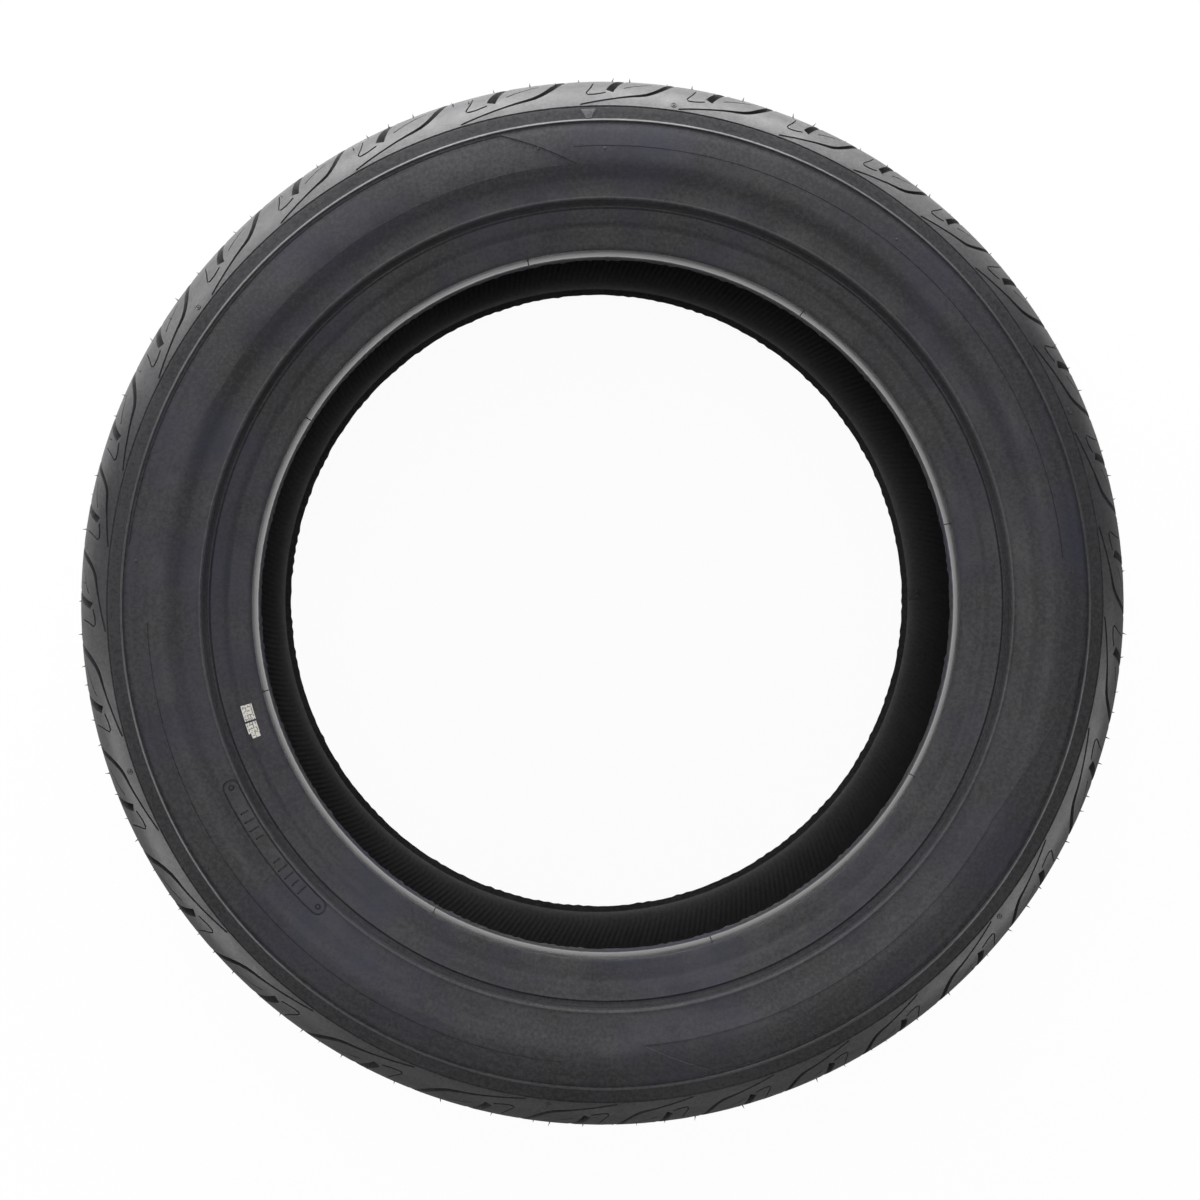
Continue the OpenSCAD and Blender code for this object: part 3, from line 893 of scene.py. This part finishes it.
def lining_rows():
    """Section of the lining from a toe to the middle of the tread, as [radius, height]."""
    toe, wide = np.array(TOE), np.array([WIDE_R, HALF_W - SIDEWALL_T])
    crown = CROWN_R - CROWN_T
    low_run, high_run = wide[0] - toe[0], crown - wide[0]
    t = np.linspace(0, 1, 10)[1:]
    lower = bezier(toe, toe + [0.38 * low_run, 0], wide - [0.28 * low_run, 0], wide, t)
    t = np.linspace(0, 1, 6)[1:]
    by_crown = (crown - 1.4, 0.8 * HALF_W), (crown - 0.6, 0.4 * HALF_W)
    return lower, bezier(wide, wide + [0.57 * high_run, 0], *by_crown, t), (crown, 0.0)


def lining(shell, near, near_a, far, far_a, kind):
    """The inside of the casing, with slanting vent ribs towards the lower bead."""
    lower, upper, crown = lining_rows()
    near_rows = np.concatenate([lower, upper])
    far_rows = near_rows[::-1] * [1, -1]
    plain = np.arange(LINING_POINTS) * TAU / LINING_POINTS
    ribbed = np.arange(RIB_POINTS) * TAU / RIB_POINTS
    last, last_a = near, near_a
    for r, z in [*near_rows.tolist(), crown, *far_rows.tolist()]:
        a, zz = plain, z
        if z < RIB_TOP and r < RIB_TO:
            a = ribbed + RIB_LEAN * (RIB_TO - r) / RIB_LEN
            fade = min(1.0, (RIB_TO - r) / 4, max(0.3, (r - RIB_FROM) / 3))
            zz = z + RIB_H * fade * (np.arange(RIB_POINTS) % 2)
        this = shell.add(ring(r, zz, a))
        if len(this) == len(last):
            shell.strip(last, this, kind)
        else:
            shell.bridge(last, last_a, this, a, kind)
        last, last_a = this, a
    shell.bridge(last, last_a, far, far_a, kind)


def rolled(ids, angles):
    """The ring turned so that it starts just after +X, with angles from 0 up."""
    a = angles % TAU
    k = int(np.argmin(a))
    return np.roll(ids, -k), np.roll(a, -k)


def tyre_mesh(materials):
    shell = Shell()
    (near_ids, near_a), (far_ids, far_a) = tread(shell, ON_TREAD)
    near_ids, near_a = rolled(near_ids, near_a)
    far_ids, far_a = rolled(far_ids, far_a)
    near_bead, far_bead = bead_angles(480, TICKS), bead_angles(384, ())
    low = sidewall(shell, 1, near_ids, near_a, near_bead, ON_SIDE)
    near_toe = bead(shell, 1, low, near_bead, TICKS)
    low = sidewall(shell, -1, far_ids, far_a, far_bead, ON_SIDE)
    far_toe = bead(shell, -1, low, far_bead, ())
    lining(shell, near_toe, near_bead, far_toe, far_bead, ON_LINING)
    return shell.build("tyre_rubber", materials)


# Label and vents
# Blocks of the label: model angle from and to in degrees, radius from and to, cells across and along
LABEL_BLOCKS = [
    (-164.8, -162.35, 229.3, 236.0, 12, 16),
    (-162.05, -160.4, 229.6, 236.2, 12, 11),
    (-160.4, -159.6, 229.9, 234.9, 9, 5),
]
LABEL_T, LABEL_ROOT = 0.3, -0.1  # its top and its hidden underside, from the rubber


def point(r, angle, z):
    """A point in metres, from a radius and a height in millimetres."""
    return r * math.cos(angle) * MM, r * math.sin(angle) * MM, z * MM


def small_piece(name, points, faces, materials, kinds=None):
    """A piece of plain faces, all turned outward."""
    mesh = bpy.data.meshes.new(name)
    mesh.from_pydata(points, [], faces)
    for m in materials:
        mesh.materials.append(m)
    if kinds:
        mesh.polygons.foreach_set("material_index", kinds)
    turned = bmesh.new()
    turned.from_mesh(mesh)
    bmesh.ops.recalc_face_normals(turned, faces=turned.faces)
    turned.to_mesh(mesh)
    turned.free()
    mesh.update()
    return linked(name, mesh)


def label(paper, ink):
    """The small paper label in two blocks on the bead's flange face, printed with plain short bars."""
    points, faces, kinds = [], [], []
    rng = random.Random(8)

    def spot(r, degrees, lift):
        under = np.interp(r, *np.array(FALL[::-1]).T) if r > FALL[-1][0] else flange_z(r)
        points.append(point(r, math.radians(degrees), under + lift))
        return len(points) - 1

    for a0, a1, r0, r1, rows, columns in LABEL_BLOCKS:
        top, low = {}, {}
        for j in range(columns + 1):
            for i in range(rows + 1):
                place = (r0 + (r1 - r0) * i / rows, a0 + (a1 - a0) * j / columns)
                top[i, j] = spot(*place, LABEL_T)
                if i in (0, rows) or j in (0, columns):
                    low[i, j] = spot(*place, LABEL_ROOT)
        for j in range(columns):
            for i in range(rows):
                faces.append((top[i, j], top[i + 1, j], top[i + 1, j + 1], top[i, j + 1]))
                inked = 0 < i < rows - 1 and (i % 3 == 1 or j % 4 == 2) and rng.random() < 0.6
                kinds.append(1 if inked else 0)
        rim = [(i, 0) for i in range(rows)] + [(rows, j) for j in range(columns)]
        rim += [(i, columns) for i in range(rows, 0, -1)] + [(0, j) for j in range(columns, 0, -1)]
        for a, b in zip(rim, rim[1:] + rim[:1]):
            faces.append((top[b], top[a], low[a], low[b]))
            kinds.append(0)
        faces.append(tuple(low[q] for q in rim))
        kinds.append(0)
    return small_piece("label_print", points, faces, [paper, ink], kinds)


HAIRS, HAIR_R = 120, 0.5
VENT_MARKS = (7.3, 67, 128.5, 187, 251, 306)  # clockwise from the top of the photo
VENT_MARK_AT = 310.9  # their radius on the shoulder
# Section of a mark from its rim to the stud in its middle: radius from its own middle, height off the rubber
VENT_SECTION = [
    (2.1, -0.3), (2.0, 0.12), (1.7, 0.22), (1.35, 0.1), (1.2, -0.02), (0.75, 0.0), (0.6, 0.3), (0.3, 0.45),
]


def vent_mark(points, faces, angle):
    """One round vent on the +Z shoulder: a low ring with a stud in it."""
    s = float(np.interp(-VENT_MARK_AT, -FACE_R, FACE_S))
    middle, up = np.array(face_point(s, 0)), np.array(face_point(s, 1)) - face_point(s, 0)
    along = np.array([up[1], -up[0]])
    n = 14
    base = len(points)
    for radius, height in VENT_SECTION:
        for q in range(n):
            b = TAU * q / n
            r, z = middle + along * radius * math.cos(b) + up * height
            points.append(point(r, angle + radius * math.sin(b) / r, z))
    for k in range(len(VENT_SECTION) - 1):
        for q in range(n):
            i, j = base + k * n + q, base + k * n + (q + 1) % n
            faces.append((i, j, j + n, i + n))
    faces.append(tuple(base + q for q in range(n - 1, -1, -1)))
    faces.append(tuple(base + (len(VENT_SECTION) - 1) * n + q for q in range(n)))


def vent_hairs(rubber):
    """Thin rubber hairs that the mould's vents leave on both shoulders."""
    rng = random.Random(31)
    points, faces = [], []
    for side in (1, -1):
        for k in range(HAIRS):
            angle = math.radians(360 / HAIRS * k + rng.uniform(-0.8, 0.8))
            s = float(s_at(rng.choice((66, 78, 80, 90)) + rng.uniform(-2, 2))) * side
            length = rng.uniform(1.2, 3.0)
            foot_r, foot_z = face_point(s, -0.3)
            tip_r, tip_z = face_point(s, length)
            lean = rng.uniform(-0.5, 0.5) * length / tip_r
            base = len(points)
            for q in range(5):
                b = TAU * q / 5
                aside = HAIR_R * math.sin(b) / foot_r
                points.append(point(foot_r, angle + aside, foot_z + HAIR_R * math.cos(b)))
            points.append(point(tip_r, angle + lean, tip_z))
            faces += [(base + q, base + (q + 1) % 5, base + 5) for q in range(5)]
            faces.append(tuple(base + q for q in range(4, -1, -1)))
    for place in VENT_MARKS:
        vent_mark(points, faces, math.radians(from_top(place)))
    return small_piece("vent_hairs", points, faces, [rubber])


# Materials
# Painted shade: the floor's colour, which lights the tyre as bounce, darkens from the pale tone to the dim
# one away from the lamps, between the two places along the light's way.
FLOOR_PALE, FLOOR_PAINTED_SHADE = (0.86, 0.86, 0.86), (0.24, 0.24, 0.24)
FLOOR_LIGHT_WAY = (-0.26, 0.97, 0)
FLOOR_PAINTED_SHADE_FADE = (-0.15, 0.45)
# Inside the tyre the floor is painted pale for bounce light and glows white to glossy rays: a painted
# reflection, the highlight in the beads' heels.
FLOOR_HOLE = (0.24, 0.26)  # metres from the middle where the pale floor inside the tyre ends
FLOOR_SEEN = 0.955  # how far what the camera sees of the floor is plain white


def blank(name):
    made = bpy.data.materials.new(name)
    made.use_nodes = True
    tree = made.node_tree
    return made, tree, tree.nodes["Principled BSDF"]


def node(tree, kind, inputs, **settings):
    """The outputs of a new shader node; each of its inputs is given an output to link or a value."""
    made = tree.nodes.new("ShaderNode" + kind)
    for name, value in settings.items():
        setattr(made, name, value)
    for name, value in inputs.items():
        if isinstance(value, bpy.types.NodeSocket):
            tree.links.new(value, made.inputs[name])
        else:
            made.inputs[name].default_value = value
    return made.outputs


def noise(tree, scale, detail, roughness=0.5):
    where = node(tree, "TexCoord", {})["Object"]
    inputs = {"Scale": scale, "Detail": detail, "Roughness": roughness, "Vector": where}
    return node(tree, "TexNoise", inputs)["Fac"]


def between(tree, value, low_in, high_in, low_out, high_out):
    ends = {"From Min": low_in, "From Max": high_in, "To Min": low_out, "To Max": high_out}
    return node(tree, "MapRange", {"Value": value, **ends})["Result"]


def tinted(tree, value, under, over):
    """The tone between a lower one, a colour or an output, and an upper colour."""
    under = (*under, 1) if isinstance(under, tuple) else under
    return node(tree, "Mix", {"Factor": value, "A": under, "B": (*over, 1)}, data_type="RGBA")["Result"]


def bumped(tree, height, distance_m, strength, under=None):
    inputs = {"Height": height, "Distance": distance_m, "Strength": strength}
    if under is not None:
        inputs["Normal"] = under
    return node(tree, "Bump", inputs)["Normal"]


def combined(tree, operation, one, two):
    return node(tree, "Math", {0: one, 1: two}, operation=operation)[0]


def vector_math(tree, operation, one, two=(0, 0, 0)):
    return node(tree, "VectorMath", {0: one, 1: two}, operation=operation)


def streaks(tree, low, high):
    """Faint streaks that run round the axle."""
    flat = vector_math(tree, "MULTIPLY", node(tree, "TexCoord", {})["Object"], (1, 1, 0))[0]
    out = vector_math(tree, "LENGTH", flat)["Value"]
    lines = node(tree, "TexNoise", {"Scale": 210, "Detail": 3, "W": out}, noise_dimensions="1D")
    return between(tree, lines["Fac"], 0.3, 0.7, low, high)


def rubber(name, dark, light, rough_low, rough_high, grain=1.0, ior=1.5, specular=0.5, cool=None):
    """Rubber in two tones, cloudy and finely speckled, with wide patches of a cooler tone if one is given."""
    made, tree, shader = blank(name)
    blotch = between(tree, noise(tree, 9, 5, 0.6), 0.3, 0.7, 0.1, 0.9)
    speck = between(tree, noise(tree, 430, 3, 0.75), 0.3, 0.7, -0.8, 0.8)
    value = combined(tree, "ADD", blotch, speck)
    if cool:
        value = combined(tree, "ADD", value, streaks(tree, -0.22, 0.22))
    colour = tinted(tree, value, dark, light)
    if cool:
        colour = tinted(tree, between(tree, noise(tree, 11, 4, 0.6), 0.46, 0.64, 0, 0.7), colour, cool)
    tree.links.new(colour, shader.inputs["Base Color"])
    cloud = between(tree, noise(tree, 34, 6, 0.7), 0.3, 0.7, rough_low, rough_high)
    tree.links.new(cloud, shader.inputs["Roughness"])
    fine = bumped(tree, noise(tree, 1100, 3), 0.0001 * grain, 0.6)
    tree.links.new(bumped(tree, noise(tree, 150, 5, 0.6), 0.0005 * grain, 0.4, fine), shader.inputs["Normal"])
    shader.inputs["IOR"].default_value = ior
    shader.inputs["Specular IOR Level"].default_value = specular
    return made


def plain_paper(name, dark, light, rough):
    made, tree, shader = blank(name)
    colour = tinted(tree, between(tree, noise(tree, 900, 4), 0.3, 0.7, 0, 1), dark, light)
    cloud = between(tree, noise(tree, 500, 2), 0.3, 0.7, rough - 0.05, rough + 0.05)
    tree.links.new(colour, shader.inputs["Base Color"])
    tree.links.new(bumped(tree, noise(tree, 2500, 3), 0.00003, 0.4), shader.inputs["Normal"])
    tree.links.new(cloud, shader.inputs["Roughness"])
    return made


def floor_white():
    """A floor that looks white but for a soft shadow. Its colour, which the tyre gets as bounce light, is
    painted darker away from the light as painted shade; inside the tyre it is painted pale and glows white to
    glossy rays, a painted reflection in the beads' heels.
    """
    made, tree, shader = blank("floor_white")
    shader.inputs["Roughness"].default_value = 0.9
    shader.inputs["Specular IOR Level"].default_value = 0.0
    where = node(tree, "TexCoord", {})["Object"]
    along = vector_math(tree, "DOT_PRODUCT", where, FLOOR_LIGHT_WAY)["Value"]
    across = vector_math(tree, "LENGTH", where)["Value"]
    # Painted shade in the floor's colour, darker away from the light.
    outer = tinted(tree, between(tree, along, *FLOOR_PAINTED_SHADE_FADE, 0, 1), FLOOR_PAINTED_SHADE, FLOOR_PALE)
    hole_painted_light = between(tree, across, *FLOOR_HOLE, 1, 0)
    tree.links.new(tinted(tree, hole_painted_light, outer, FLOOR_PALE), shader.inputs["Base Color"])
    path = node(tree, "LightPath", {})
    soft = node(tree, "BsdfDiffuse", {"Color": (*FLOOR_PALE, 1)})[0]
    seen = node(tree, "MixShader", {"Fac": FLOOR_SEEN, 1: soft, 2: node(tree, "Emission", {})[0]})[0]
    # Painted reflection: glossy rays see the floor inside the tyre glowing white, which makes the heels'
    # highlight.
    painted_heel_reflection = combined(tree, "MULTIPLY", path["Is Glossy Ray"], hole_painted_light)
    white = combined(tree, "MAXIMUM", path["Is Camera Ray"], painted_heel_reflection)
    mix = node(tree, "MixShader", {"Fac": white, 1: shader.outputs[0], 2: seen})[0]
    tree.links.new(mix, tree.nodes["Material Output"].inputs["Surface"])
    return made


# The object
TREAD = rubber("rubber_tread", (0.021, 0.021, 0.023), (0.040, 0.040, 0.043), 0.34, 0.52)
SIDE = rubber(
    "rubber_sidewall", (0.011, 0.011, 0.013), (0.033, 0.032, 0.036), 0.48, 0.7,
    grain=1.2, cool=(0.017, 0.017, 0.036),
)
MARK = rubber("rubber_wear_mark", (0.032, 0.032, 0.035), (0.07, 0.07, 0.073), 0.7, 0.85)
BAND = rubber("rubber_band", (0.022, 0.022, 0.024), (0.040, 0.039, 0.042), 0.78, 0.92, 1.6, 1.5, 0.2)
BEAD = rubber("rubber_bead", (0.026, 0.026, 0.028), (0.034, 0.034, 0.036), 0.2, 0.28, 0.5, 1.9, 1.0)
# The lining's tone is its own paler rubber, raised further as painted fill light for the shaded inside of the
# casing.
LINING_WITH_PAINTED_FILL = rubber("rubber_lining_painted_fill", (0.049, 0.05, 0.053), (0.068, 0.068, 0.072), 0.4, 0.55)
PAPER = plain_paper("label_paper", (0.62, 0.6, 0.55), (0.74, 0.72, 0.67), 0.7)
INK = plain_paper("label_ink", (0.12, 0.12, 0.12), (0.3, 0.3, 0.29), 0.6)

tyre = tyre_mesh([TREAD, SIDE, BEAD, LINING_WITH_PAINTED_FILL, BAND, TREAD, MARK])
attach(tyre, "root")
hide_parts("tyre")

sticker = label(PAPER, INK)
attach(sticker, "root")
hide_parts("barcode_label")

hairs = vent_hairs(TREAD)
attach(hairs, "root")


# Floor, lights and camera
def flat(name, width, depth, z, finish):
    mesh = bpy.data.meshes.new(name)
    x, y = width / 2, depth / 2
    mesh.from_pydata([(-x, -y, z), (x, -y, z), (x, y, z), (-x, y, z)], [], [(0, 1, 2, 3)])
    mesh.materials.append(finish)
    return linked(name, mesh)


floor = flat("floor", 9, 9, low.z, floor_white())


def lamp(name, place, aim, width, height, watts):
    data = bpy.data.lights.new(name, "AREA")
    data.shape = "RECTANGLE"
    data.size, data.size_y, data.energy = width, height, watts
    made = linked(name, data)
    made.location = place
    made.rotation_euler = (Vector(aim) - Vector(place)).to_track_quat("-Z", "Y").to_euler()


# Name, azimuth clockwise from the top of the picture, distance, height of the middle, width, height, power
WALLS = [
    ("top_lamp", 358, 1.15, 0.20, 1.1, 0.6, 19),
    ("upper_right_lamp", 32, 1.25, 0.20, 0.6, 0.5, 4),
    ("upper_left_lamp", 318, 1.2, 0.22, 0.8, 0.6, 8),
    ("left_lamp", 240, 1.2, 0.22, 0.9, 0.6, 6.5),
    ("right_lamp", 118, 1.2, 0.22, 1.0, 0.6, 5.5),
    ("bottom_lamp", 183, 1.25, 0.20, 1.5, 0.5, 1.6),
]
for name, azimuth, far, height, width, tall, watts in WALLS:
    a = math.radians(azimuth)
    lamp(name, (far * math.sin(a), far * math.cos(a), height), (0, 0, 0.1), width, tall, watts)
lamp("front_lamp", (-0.2, 0.6, 2.5), (0, 0, 0), 1.5, 1.5, 27)
lamp("low_front_lamp", (0.2, -1.0, 2.2), (0, 0, 0), 0.9, 0.9, 3.6)

world = bpy.data.worlds.new("studio")
world.use_nodes = True
world.node_tree.nodes["Background"].inputs["Color"].default_value = (1, 1, 1, 1)
world.node_tree.nodes["Background"].inputs["Strength"].default_value = 0.12
bpy.context.scene.world = world

CAMERA_AT = (-0.055, 0.023, 1.331)
CAMERA_AIM = (-0.00185, 0.00214, 0.0)
view = bpy.data.cameras.new("camera")
view.sensor_width, view.lens = 36, 59.76
camera = bpy.data.objects.new("camera", view)
camera.location = CAMERA_AT
back = (Vector(CAMERA_AT) - Vector(CAMERA_AIM)).normalized()
right = Vector((0, 1, 0)).cross(back).normalized()
camera.rotation_euler = Matrix((right, back.cross(right), back)).transposed().to_euler()
bpy.context.scene.collection.objects.link(camera)
bpy.context.scene.camera = camera
bpy.context.scene.view_settings.view_transform = "Standard"
